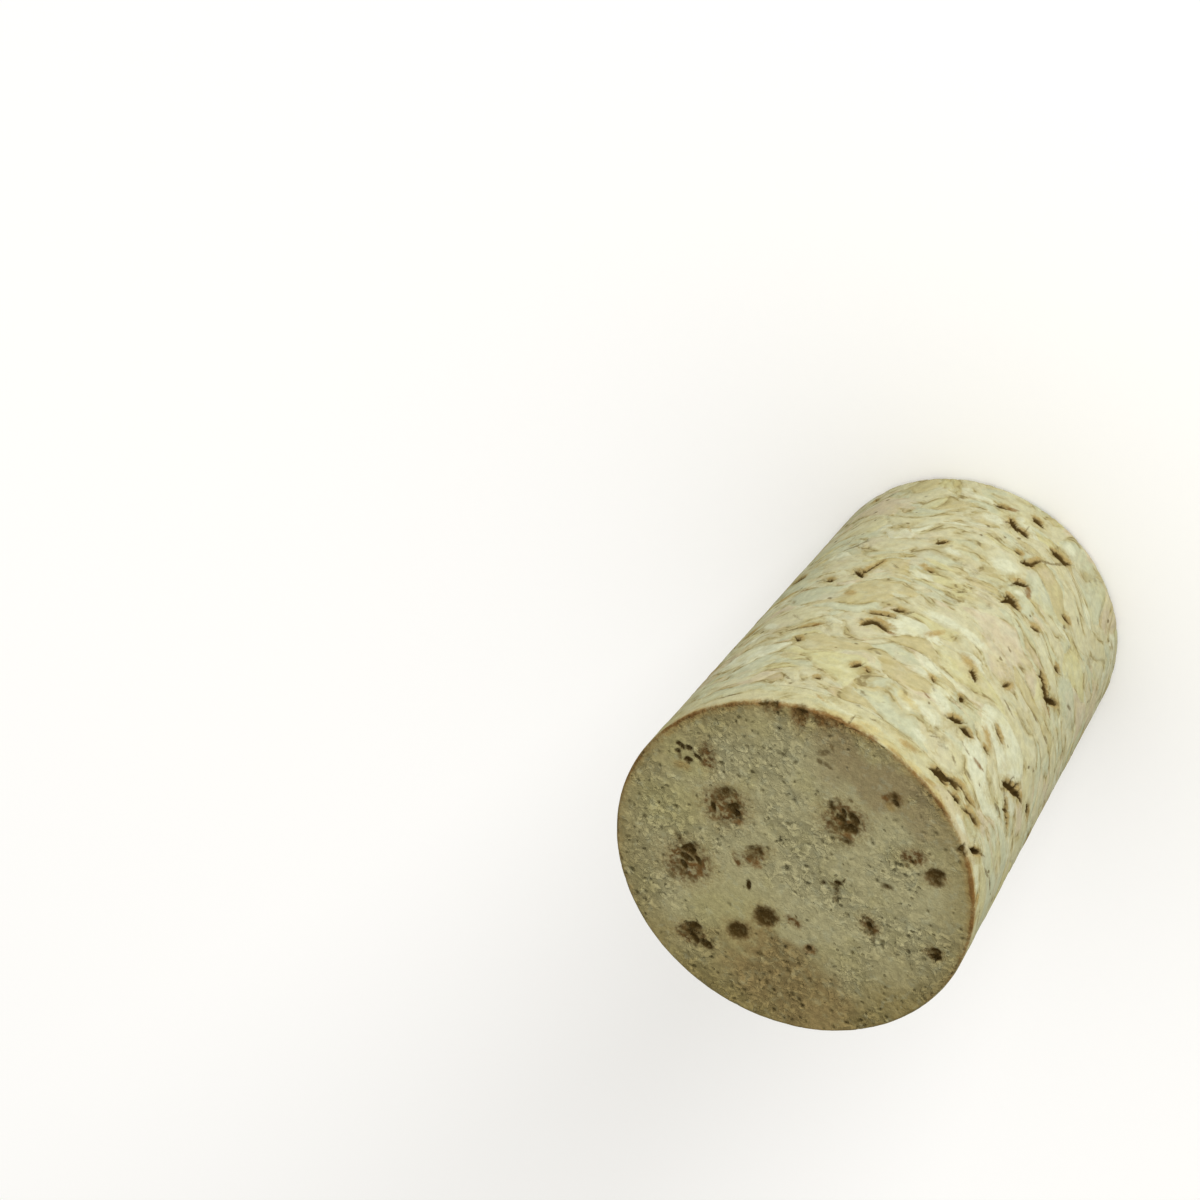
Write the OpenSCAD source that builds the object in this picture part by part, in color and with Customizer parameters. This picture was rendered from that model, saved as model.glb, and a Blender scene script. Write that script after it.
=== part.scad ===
// Tapered cork stopper: a pressed granule body with a disc of natural cork glued on its large end.
// It stands on its small end, with the origin in the middle of that end and +Z along the axis.

/* [Stopper] */
// Diameter of the large end, across the natural cork disc
top_d = 24; // [20:0.1:40]
// Diameter of the small end
base_d = 21.2; // [18:0.1:38]
// Height from the small end to the large end
stopper_h = 34; // [24:0.5:60]
// Thickness of the natural cork disc
disc_t = 2.4; // [1.8:0.1:6]
// Radius of the eased edge around the small end
base_edge_r = 0.5; // [0.2:0.05:1]
// Radius of the eased edge around the large end
top_edge_r = 0.2; // [0.15:0.05:0.8]

/* [Gaps between granules] */
// Depth of the gaps in the side of the pressed body
gap_depth = 0.9; // [0.4:0.1:1.5]
// Depth of the gaps in the small end
end_gap_depth = 0.7; // [0.3:0.1:1.5]
// Length of an ordinary gap round the back
back_gap_l = 1.3; // [0.6:0.1:2]
// Number of gaps round the back
back_gap_count = 34; // [4:1:50]
// Length of an ordinary gap in the small end
end_gap_l = 1.2; // [0.6:0.1:2]
// Number of gaps in the small end
end_gap_count = 17; // [4:1:24]

/* [Pores in the natural cork] */
// Depth of the round brown pores
pore_depth = 0.8; // [0.3:0.1:1.4]
// Depth of the dish in which a granular pore lies
dish_depth = 0.2; // [0.1:0.05:0.5]
// Size of one grain hole in a granular pore
grain_d = 0.5; // [0.3:0.05:0.8]
// Depth of the chips in the rim of the large end
chip_depth = 0.35; // [0.1:0.05:0.8]

/* [Hidden] */
$fn = 128;

// How far a cut reaches past the surface that it opens
proud = 0.5;
// How much a torn outline strays from its oval, as a share
raggedness = 0.22;
// Points in a torn outline
outline_points = 7;
// Steps in each eased edge
edge_steps = 5;
// Share of a turn that spreads repeated marks evenly
golden = 0.618034;
// Share of its depth, length and width at which a pit narrows
narrowing = 0.6;
// Turn at which the gaps round the back begin, and how far round they spread
back_start = -25;
back_spread = 220;
// Steepest tilt of a gap round the back
back_tilt = 50;
// Distance from the rim of the small end to its outermost gap
end_margin = 1.5;
// Width of a chip in the rim
chip_w = 1.2;

body_h = stopper_h - disc_t;
base_r = base_d / 2;
top_r = top_d / 2;
slope = (top_r - base_r) / stopper_h;
taper_a = atan(slope);

// Gaps on the front: turn in degrees, share of the body's height, length, width, tilt
FRONT_GAPS = [
    [-110, 0.972, 1.1, 0.5, 30],
    [-117, 0.972, 1, 0.5, 20],
    [-129, 0.972, 1, 0.4, 30],
    [-137, 0.965, 1.4, 0.35, 45],
    [-70, 0.864, 0.9, 0.4, 60],
    [-105, 0.835, 1.2, 0.4, 40],
    [-110, 0.835, 0.9, 0.45, 20],
    [-141, 0.832, 1.9, 0.4, -20],
    [-133, 0.8, 1, 0.35, 40],
    [-137, 0.775, 2.3, 0.5, 40],
    [-138, 0.748, 1, 0.35, 80],
    [-143, 0.74, 1.2, 0.4, 30],
    [-46, 0.791, 0.9, 0.35, -50],
    [-103, 0.766, 0.6, 0.4, 90],
    [-152, 0.699, 1.3, 0.45, 20],
    [-64, 0.696, 0.9, 0.55, 60],
    [-66.5, 0.684, 0.9, 0.55, -10],
    [-69, 0.696, 1, 0.45, -30],
    [-102, 0.674, 0.9, 0.45, -60],
    [-68, 0.646, 1, 0.35, 0],
    [-70, 0.614, 0.8, 0.45, 20],
    [-38, 0.503, 1, 0.4, -40],
    [-48, 0.484, 1.5, 0.35, -50],
    [-50, 0.472, 1.3, 0.35, 70],
    [-128, 0.478, 1.4, 0.6, -30],
    [-121.5, 0.456, 1.1, 0.45, -30],
    [-133, 0.463, 1.9, 0.45, 50],
    [-127, 0.386, 0.7, 0.45, 20],
    [-98, 0.377, 1.3, 0.4, 60],
    [-101, 0.362, 0.9, 0.45, -15],
    [-98, 0.297, 1.1, 0.4, 50],
    [-67, 0.301, 0.9, 0.4, 60],
    [-119, 0.247, 0.8, 0.45, 20],
    [-96, 0.218, 1, 0.4, 40],
    [-98, 0.196, 1.5, 0.35, 70],
    [-104, 0.112, 1.4, 0.6, 0],
    [-81.5, 0.11, 1, 0.4, -50],
    [-88.5, 0.13, 1.2, 0.45, -10],
    [-77, 0.079, 0.8, 0.4, 10],
    [-91, 0.06, 0.9, 0.45, -20]
];

// Round pores: place across and along the disc as shares of its radius, length, width, tilt
ROUND_PORES = [
    [-0.025, 0.365, 1.35, 1.25, 0],
    [0.05, 0.55, 1.15, 0.95, 80],
    [0.255, 0.755, 1.5, 1.35, 20],
    [0.145, 0.765, 0.6, 0.5, 0],
    [0.185, 0.075, 1.8, 0.85, 62],
    [-0.215, -0.76, 1.15, 0.8, 40],
    [-0.615, -0.51, 1.15, 0.95, 70],
    [-0.47, -0.525, 0.85, 0.6, 30],
    [-0.86, -0.085, 0.8, 0.7, 30],
    [-0.24, -0.04, 1.5, 0.4, 75],
    [-0.2, -0.05, 1.1, 0.35, -30],
    [-0.49, 0.02, 1.3, 0.5, 55],
    [-0.46, -0.26, 0.7, 0.45, 0],
    [0.15, 0.26, 0.55, 0.45, 0],
    [-0.3, 0.375, 0.55, 0.4, 20]
];

// Granular pores: place as shares of the disc's radius, width, number of grain holes
GRAIN_PORES = [
    [0.45, -0.1, 2.6, 9],
    [-0.06, -0.45, 2.7, 10],
    [0.475, 0.365, 2.8, 12],
    [0.765, -0.235, 1.9, 7]
];

// Chips in the rim of the large end: turn in degrees, length along the rim
RIM_CHIPS = [
    [-54, 2.2],
    [-63, 1.3],
    [-70, 1.1],
    [-131.5, 1]
];

function radius_at(z) = base_r + slope * z;

function part_of(x) = x - floor(x);

// A length from 0.6 to 1.4 times the ordinary one
function varied(l, x) = l * (0.6 + 0.8 * part_of(x));

// Width of a gap, 0.3 to 0.6 times its length
function gap_width(l, x) = l * (0.3 + 0.3 * part_of(x));

function arc(centre, r, from, to) = [
    for (i = [0 : edge_steps])
        let (a = from + (to - from) * i / edge_steps)
        [centre[0] + r * cos(a), centre[1] + r * sin(a)]
];

// Where the centre of an eased edge lies at height z, a distance r inside the tapered side
function edge_centre(z, r) = [base_r + slope * z - r / cos(taper_a), z];

// A torn oval, length along Y and width along X
function torn_oval(l, w, seed) = [
    for (i = [0 : outline_points - 1])
        let (a = 360 * i / outline_points)
        let (stray = 1 + raggedness * sin(seed * 71 + i * 137))
        [w / 2 * cos(a) * stray, l / 2 * sin(a) * stray]
];

// A ragged hole that opens at z = 0 and narrows in a step to its full depth
module ragged_pit(l, w, depth, tilt, seed) {
    rotate([0, 0, tilt]) {
        translate([0, 0, -depth * narrowing])
            linear_extrude(depth * narrowing + proud)
                polygon(torn_oval(l, w, seed));
        translate([0, 0, -depth])
            linear_extrude(depth)
                polygon(torn_oval(l * narrowing, w * narrowing, seed + 2));
    }
}

// Moves to the tapered side at a turn and a height, with Z pointing out of the cork
module on_side(turn, z) {
    rotate([0, 0, turn])
        translate([radius_at(z), 0, z])
            rotate([0, 90 + taper_a, 0])
                children();
}

module front_gaps() {
    for (i = [0 : len(FRONT_GAPS) - 1]) {
        g = FRONT_GAPS[i];
        on_side(g[0], g[1] * body_h)
            ragged_pit(g[2], g[3], gap_depth, g[4], i);
    }
}

module back_gaps() {
    for (i = [0 : back_gap_count - 1]) {
        turn = back_start + back_spread * part_of(i * golden);
        z = body_h * (0.04 + 0.93 * (i + 0.5) / back_gap_count);
        l = varied(back_gap_l, i * 0.37);
        tilt = back_tilt * (2 * part_of(i * 0.71) - 1);
        on_side(turn, z)
            ragged_pit(l, gap_width(l, i * 0.53), gap_depth, tilt, i + 5);
    }
}

module end_gaps() {
    for (i = [0 : end_gap_count - 1]) {
        r = (base_r - end_margin) * sqrt((i + 0.7) / end_gap_count);
        l = varied(end_gap_l, i * 0.43);
        rotate([0, 0, 360 * i * golden])
            translate([r, 0, 0])
                mirror([0, 0, 1])
                    ragged_pit(l, gap_width(l, i * 0.59), end_gap_depth, 180 * part_of(i * 0.31), i + 9);
    }
}

// Solid of revolution for the pressed body, eased round the small end
module body_form() {
    rotate_extrude()
        polygon(concat(
            [[0, 0]],
            arc(edge_centre(base_edge_r, base_edge_r), base_edge_r, -90, -taper_a),
            [[radius_at(body_h), body_h], [0, body_h]]
        ));
}

// Solid of revolution for the disc, which carries the taper on and is eased round the large end
module disc_form() {
    rotate_extrude()
        polygon(concat(
            [[0, body_h], [radius_at(body_h), body_h]],
            arc(edge_centre(stopper_h - top_edge_r, top_edge_r), top_edge_r, -taper_a, 90),
            [[0, stopper_h]]
        ));
}

module round_pores() {
    for (i = [0 : len(ROUND_PORES) - 1]) {
        p = ROUND_PORES[i];
        translate([p[0] * top_r, p[1] * top_r, stopper_h])
            ragged_pit(p[2], p[3], pore_depth, p[4], i + 1);
    }
}

// A shallow dish with grain holes spread over its floor
module grain_pore(w, count, seed) {
    translate([0, 0, -dish_depth])
        linear_extrude(dish_depth + proud)
            polygon(torn_oval(w, w * 0.85, seed));
    for (i = [0 : count - 1]) {
        r = w * 0.42 * sqrt((i + 0.3) / count);
        rotate([0, 0, 360 * i * golden + seed * 40])
            translate([r, 0, -dish_depth])
                ragged_pit(grain_d, grain_d * 0.8, pore_depth - dish_depth, i * 50, i + seed);
    }
}

module grain_pores() {
    for (i = [0 : len(GRAIN_PORES) - 1]) {
        p = GRAIN_PORES[i];
        translate([p[0] * top_r, p[1] * top_r, stopper_h])
            grain_pore(p[2], p[3], i + 1);
    }
}

// Bites out of the top edge, each a torn oval that leans over the rim
module rim_chips() {
    for (i = [0 : len(RIM_CHIPS) - 1]) {
        c = RIM_CHIPS[i];
        rotate([0, 0, c[0]])
            translate([top_r, 0, stopper_h])
                rotate([0, 45, 0])
                    translate([0, 0, -chip_depth])
                        linear_extrude(2 * proud + chip_depth)
                            polygon(torn_oval(c[1], chip_w, i + 4));
    }
}

module agglomerated_body() {
    color("#cdbf94")
        difference() {
            body_form();
            front_gaps();
            back_gaps();
            end_gaps();
        }
}

module natural_cork_disc() {
    color("#a9a184")
        difference() {
            disc_form();
            round_pores();
            grain_pores();
            rim_chips();
        }
}

agglomerated_body();
natural_cork_disc();
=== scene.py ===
import math

import bpy
import numpy as np
from mathutils import Matrix, Vector


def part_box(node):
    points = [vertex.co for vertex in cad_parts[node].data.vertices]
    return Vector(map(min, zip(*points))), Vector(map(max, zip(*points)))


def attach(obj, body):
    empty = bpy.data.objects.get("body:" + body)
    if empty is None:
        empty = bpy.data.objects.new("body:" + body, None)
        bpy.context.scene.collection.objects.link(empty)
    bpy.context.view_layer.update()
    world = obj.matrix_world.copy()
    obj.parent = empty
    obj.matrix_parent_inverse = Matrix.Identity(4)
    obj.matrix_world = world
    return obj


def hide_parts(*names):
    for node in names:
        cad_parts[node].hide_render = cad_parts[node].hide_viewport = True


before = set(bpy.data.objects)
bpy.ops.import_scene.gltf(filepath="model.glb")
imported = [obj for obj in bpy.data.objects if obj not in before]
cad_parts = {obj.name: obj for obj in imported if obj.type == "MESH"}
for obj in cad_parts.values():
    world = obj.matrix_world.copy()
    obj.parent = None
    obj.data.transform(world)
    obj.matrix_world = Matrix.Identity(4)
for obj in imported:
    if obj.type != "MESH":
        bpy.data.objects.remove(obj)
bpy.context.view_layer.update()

# Sizes in millimetres, as in the CAD model; the heights come from the frame
MM = 0.001
disc_lo, disc_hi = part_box("natural_cork_disc")
SEAM_Z = disc_lo.z / MM
HEIGHT = disc_hi.z / MM
TOP_R = 12.0
BASE_R = 10.6
BASE_EDGE_R = 0.5
TOP_EDGE_R = 0.2
SLOPE = (TOP_R - BASE_R) / HEIGHT
TAPER = math.atan(SLOPE)
GOLDEN = 0.618034

# How fine the two meshes are; the columns crowd towards the side that the photograph shows
BODY_RINGS = 66
BODY_ROWS = 212
DISC_RINGS = 126
DISC_ROWS = 22
EDGE_STEPS = 4
CROWDING = 0.42

# Camera, fitted to the photograph: place in millimetres, angles in degrees
CAMERA_AT = (0.08, -178.7, 255.86)
LOOK_DOWN = 52.373
LOOK_TURN = -6.418
CAMERA_ROLL = -139.911
CAMERA_LENS = 136.4
SENSOR_WIDTH = 36.0
CLIP_START = 0.01

# Light
AMBIENT = 0.885
AMBIENT_COLOUR = (1.0, 0.985, 0.95)
KEY_FROM = (-0.02, -0.987, 0.16)
KEY_DISTANCE = 0.8
KEY_SIZE = 0.45
KEY_WATTS = 8.0

# Floor, in metres: half its side, and how far it lies below the stopper
FLOOR_HALF = 4.0
FLOOR_DROP = 0.00002
FLOOR_WHITE = (0.95, 0.95, 0.95, 1.0)

# Kinds of mark in the cork: depth in millimetres, colour, how strongly it shows, how soft its edge is
KINDS = {
    # Gaps and cracks take the dark colour: painted shade inside their holes, in the face pores partly their
    # own dark brown.
    "gap": (0.45, "dark", 1.0, 0.25),
    "crack": (0.2, "dark", 0.85, 0.4),
    "line": (0.06, "brown", 0.6, 0.6),
    "halo": (0.08, "halo", 0.95, 0.7),
    "rust": (0.05, "rust", 0.7, 0.8),
    "tan": (0.0, "tan", 0.75, 0.9),
    "straw": (0.0, "straw", 0.65, 0.8),
    "dull": (0.0, "olive", 0.45, 0.9),
    "pale": (0.0, "pale", 0.7, 0.6),
}
COLOURS = ("pale", "olive", "straw", "tan", "halo", "rust", "brown", "dark")
# The stored value of a dark mark falls with q squared: where it comes to nothing, and what it is at q = 1
DARK_REACH = 4.0
DARK_EDGE = 1 - 1 / DARK_REACH
# A mark in the side against the size in its row, and the spur of a gap against the gap
SPLINTER_LENGTH = 1.35
SPLINTER_WIDTH = 0.95
SPUR_LENGTH = 0.9
SPUR_WIDTH = 0.55
# How far the tan fringe of a gap lies to one side of it
FRINGE_ASIDE = 0.12

# Marks on the side that the photograph shows: turn in degrees, height, length, width, tilt, kind
SIDE_MARKS = [
    # near the disc
    (-110, 31.9, 1.4, 0.6, 30, "gap"),
    (-112, 32.1, 0.6, 0.4, 30, "crack"),
    (-115, 31.3, 1.0, 0.6, 20, "gap"),
    (-118, 30.7, 1.2, 0.25, 20, "crack"),
    (-123, 30.6, 1.2, 0.3, 10, "crack"),
    (-116, 32.2, 0.7, 0.25, 30, "line"),
    (-119, 32.0, 0.8, 0.35, 20, "gap"),
    (-125, 31.5, 1.3, 0.3, 40, "crack"),
    (-129, 31.1, 1.0, 0.5, 30, "crack"),
    (-136, 32.4, 1.5, 0.4, 50, "gap"),
    (-140, 31.5, 1.4, 0.2, 50, "line"),
    (-147, 31.2, 1.3, 0.35, 30, "line"),
    (-153, 30.5, 1.3, 0.4, 20, "line"),
    (-70, 27.3, 0.8, 0.35, 60, "gap"),
    (-72, 27.2, 0.9, 0.25, 0, "line"),
    (-74, 27.4, 0.5, 0.35, -30, "crack"),
    (-102, 29.5, 1.1, 0.2, 50, "line"),
    (-77, 30.0, 0.6, 0.3, -40, "line"),
    # near the small end
    (-77, 2.5, 0.8, 0.35, 10, "gap"),
    (-80, 2.3, 1.1, 0.5, 30, "rust"),
    (-84, 4.1, 1.2, 0.2, 80, "line"),
    (-84, 3.8, 1.2, 0.4, -50, "gap"),
    (-87, 4.0, 0.8, 0.35, 10, "gap"),
    (-89, 4.1, 0.8, 0.5, -30, "gap"),
    (-89, 3.4, 0.9, 0.2, 90, "line"),
    (-91, 1.9, 0.9, 0.45, -20, "gap"),
    (-91, 6.5, 0.6, 0.35, 10, "crack"),
    (-103, 3.6, 0.9, 0.45, 0, "gap"),
    (-105, 3.5, 1.1, 0.7, 0, "gap"),
    (-108, 3.3, 1.0, 0.3, 50, "crack"),
    (-96, 6.9, 1.0, 0.4, 40, "gap"),
    (-98, 6.2, 1.5, 0.3, 70, "crack"),
    (-101, 5.3, 1.2, 0.3, 40, "line"),
    (-105, 4.4, 1.8, 0.3, 60, "line"),
    (-119, 7.8, 0.8, 0.45, 20, "crack"),
    (-124, 6.5, 0.7, 0.35, -20, "line"),
    (-133, 3.3, 0.8, 0.4, -30, "tan"),
    (-127, 12.2, 0.7, 0.45, 20, "crack"),
    # crossed gaps
    (-96, 10.1, 1.2, 0.25, 60, "line"),
    (-98, 9.4, 1.1, 0.4, 50, "gap"),
    (-101, 9.2, 0.7, 0.4, -20, "rust"),
    (-102, 9.7, 0.9, 0.7, -60, "rust"),
    (-98, 11.9, 1.3, 0.35, 60, "gap"),
    (-98, 11.5, 0.8, 0.45, -20, "gap"),
    (-100, 11.8, 0.8, 0.4, -10, "gap"),
    (-111, 11.9, 0.9, 0.35, 40, "crack"),
    # left of the middle
    (-36, 10.6, 1.2, 0.35, 10, "line"),
    (-39, 10.1, 1.3, 0.35, 70, "line"),
    (-48, 15.3, 1.5, 0.3, -50, "gap"),
    (-50, 14.9, 1.3, 0.3, 70, "gap"),
    (-52, 14.0, 1.3, 0.3, 70, "crack"),
    (-59, 14.0, 1.0, 0.25, -40, "line"),
    (-38, 15.9, 1.0, 0.4, -40, "gap"),
    (-35, 15.6, 1.2, 0.3, -10, "line"),
    (-67, 9.5, 0.9, 0.4, 60, "gap"),
    (-70, 13.5, 0.6, 0.35, -40, "crack"),
    (-67, 13.1, 0.7, 0.7, 50, "tan"),
    (-83, 14.4, 0.7, 0.3, 50, "line"),
    (-53, 8.4, 1.6, 0.2, -60, "tan"),
    (-51, 18.3, 1.1, 0.9, -20, "tan"),
    (-38, 21.4, 1.8, 0.25, -50, "line"),
    (-41, 23.4, 1.2, 0.35, 20, "line"),
    (-46, 23.1, 1.4, 0.35, 20, "crack"),
    (-48, 22.9, 0.6, 0.4, 20, "rust"),
    (-46, 25.0, 0.9, 0.3, -50, "gap"),
    (-62, 29.9, 0.5, 0.4, -10, "crack"),
    (-52, 30.2, 1.6, 0.3, -40, "line"),
    # long gap with a tan flap
    (-64, 22.0, 0.9, 0.55, 60, "gap"),
    (-66, 21.7, 0.9, 0.55, -10, "gap"),
    (-69, 22.0, 1.0, 0.45, -30, "crack"),
    (-72, 22.3, 0.9, 0.45, -10, "rust"),
    (-68, 21.4, 2.1, 0.7, -20, "tan"),
    (-64, 20.6, 1.0, 0.35, 0, "crack"),
    (-68, 20.4, 1.0, 0.35, 0, "gap"),
    (-70, 19.4, 0.8, 0.45, 20, "gap"),
    (-73, 19.4, 1.0, 0.3, 60, "line"),
    (-61, 21.7, 0.4, 0.35, -10, "line"),
    (-73, 25.1, 0.5, 0.35, -20, "line"),
    # middle
    (-84, 20.2, 2.3, 0.7, 60, "tan"),
    (-92, 24.7, 0.6, 0.3, -50, "crack"),
    (-98, 20.6, 1.7, 1.2, -10, "tan"),
    (-102, 21.3, 0.9, 0.45, -60, "gap"),
    (-107, 16.1, 0.5, 0.35, -30, "line"),
    (-93, 26.6, 0.9, 0.25, -20, "rust"),
    (-113, 19.1, 1.1, 0.3, 70, "crack"),
    (-103, 24.2, 0.5, 0.35, 90, "gap"),
    (-102, 26.9, 0.7, 0.25, 20, "line"),
    (-105, 26.4, 1.2, 0.4, 40, "gap"),
    (-110, 26.4, 0.9, 0.45, 20, "gap"),
    (-113, 27.7, 1.2, 0.25, -20, "line"),
    (-117, 24.7, 2.0, 1.0, -40, "tan"),
    (-119, 25.7, 0.6, 0.35, -10, "crack"),
    (-120, 23.3, 1.2, 0.35, -20, "crack"),
    (-118, 20.5, 1.3, 0.35, -10, "line"),
    (-111, 29.6, 0.8, 0.35, -40, "line"),
    (-118, 29.2, 0.8, 0.35, -10, "line"),
    (-119, 27.5, 1.2, 0.5, 10, "rust"),
    (-135, 27.5, 1.0, 0.5, 20, "line"),
    # right of the middle
    (-124, 14.7, 1.2, 0.45, -30, "gap"),
    (-128, 15.1, 1.4, 0.6, -30, "gap"),
    (-132, 14.7, 1.9, 0.45, 50, "gap"),
    (-133, 15.6, 1.3, 0.35, -20, "rust"),
    (-135, 13.9, 0.6, 0.6, 40, "tan"),
    (-129, 17.9, 1.1, 0.35, 10, "line"),
    (-142, 12.1, 1.0, 0.4, 40, "line"),
    (-139, 17.3, 0.9, 0.45, 30, "line"),
    (-134, 25.2, 1.1, 0.3, 40, "gap"),
    (-137, 24.5, 2.3, 0.5, 40, "gap"),
    (-138, 23.8, 1.0, 0.3, 80, "gap"),
    (-142, 23.6, 1.2, 0.4, 30, "gap"),
    (-134, 25.8, 1.0, 0.35, -40, "line"),
    (-141, 26.3, 1.9, 0.4, -20, "gap"),
    (-152, 22.1, 1.3, 0.45, 20, "gap"),
    (-159, 17.2, 0.9, 0.4, -40, "line"),
    # straw-coloured granules
    (-89, 31.9, 3.0, 1.3, 10, "dull"),
    (-97, 32.2, 1.8, 0.8, 10, "tan"),
    (-129, 28.0, 3.2, 1.5, 20, "dull"),
    (-90, 28.3, 2.4, 1.0, -20, "straw"),
    (-111, 18.0, 2.8, 1.3, 0, "dull"),
    (-50, 8.2, 3.0, 1.6, 20, "dull"),
    (-128, 18.6, 2.6, 1.3, -20, "dull"),
    (-70, 32.0, 2.4, 1.0, 0, "dull"),
    (-130, 32.2, 2.4, 0.9, 0, "dull"),
    # pale granules
    (-84, 18.3, 3.2, 1.2, 10, "pale"),
    (-95, 18.1, 2.8, 1.1, 0, "pale"),
    (-88, 23.6, 2.5, 1.3, -20, "pale"),
    (-98, 26.1, 2.8, 1.4, -40, "pale"),
    (-90, 8.8, 2.5, 1.6, 30, "pale"),
    (-85, 3.0, 1.1, 0.8, 80, "pale"),
    (-99, 10.4, 1.0, 0.6, 50, "pale"),
    (-72, 10.2, 1.4, 0.9, -10, "pale"),
    (-77, 4.4, 1.8, 1.3, -10, "pale"),
    (-98, 30.5, 1.4, 0.9, -10, "pale"),
    (-106, 1.8, 1.2, 1.1, -20, "pale"),
    (-141, 25.2, 1.6, 0.9, 10, "pale"),
]

# Marks on the side of the disc, in the same form
BAND_MARKS = [
    (-150, 33.5, 1.0, 0.35, -40, "crack"),
    (-84, 32.1, 0.6, 0.25, 10, "line"),
    (-125, 33.0, 1.6, 0.8, 0, "pale"),
    (-75, 33.4, 2.0, 0.9, 0, "straw"),
    (-84, 33.2, 2.6, 1.3, 10, "straw"),
    (-81, 33.6, 1.2, 0.6, 0, "tan"),
    (-93, 33.4, 2.3, 0.9, 10, "straw"),
    (-95, 33.7, 1.4, 0.5, 0, "tan"),
    (-102, 33.5, 1.8, 0.8, 10, "straw"),
    (-108, 33.4, 1.6, 0.6, 20, "tan"),
    (-79, 33.2, 1.2, 0.2, 90, "line"),
    (-112, 33.6, 1.8, 0.7, 10, "straw"),
    (-67, 32.2, 1.2, 0.3, -40, "tan"),
    (-38, 32.6, 2.0, 0.3, 5, "line"),
    (-160, 32.5, 2.2, 0.3, 0, "line"),
]

# Gaps round the back and in the small end, as in the CAD model
BACK_GAP_COUNT = 34
BACK_GAP_L = 1.3
END_GAP_COUNT = 17
END_GAP_L = 1.2
# Smaller marks round the back and in the small end
BACK_MARK_COUNT = 110
END_MARK_COUNT = 40

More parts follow.
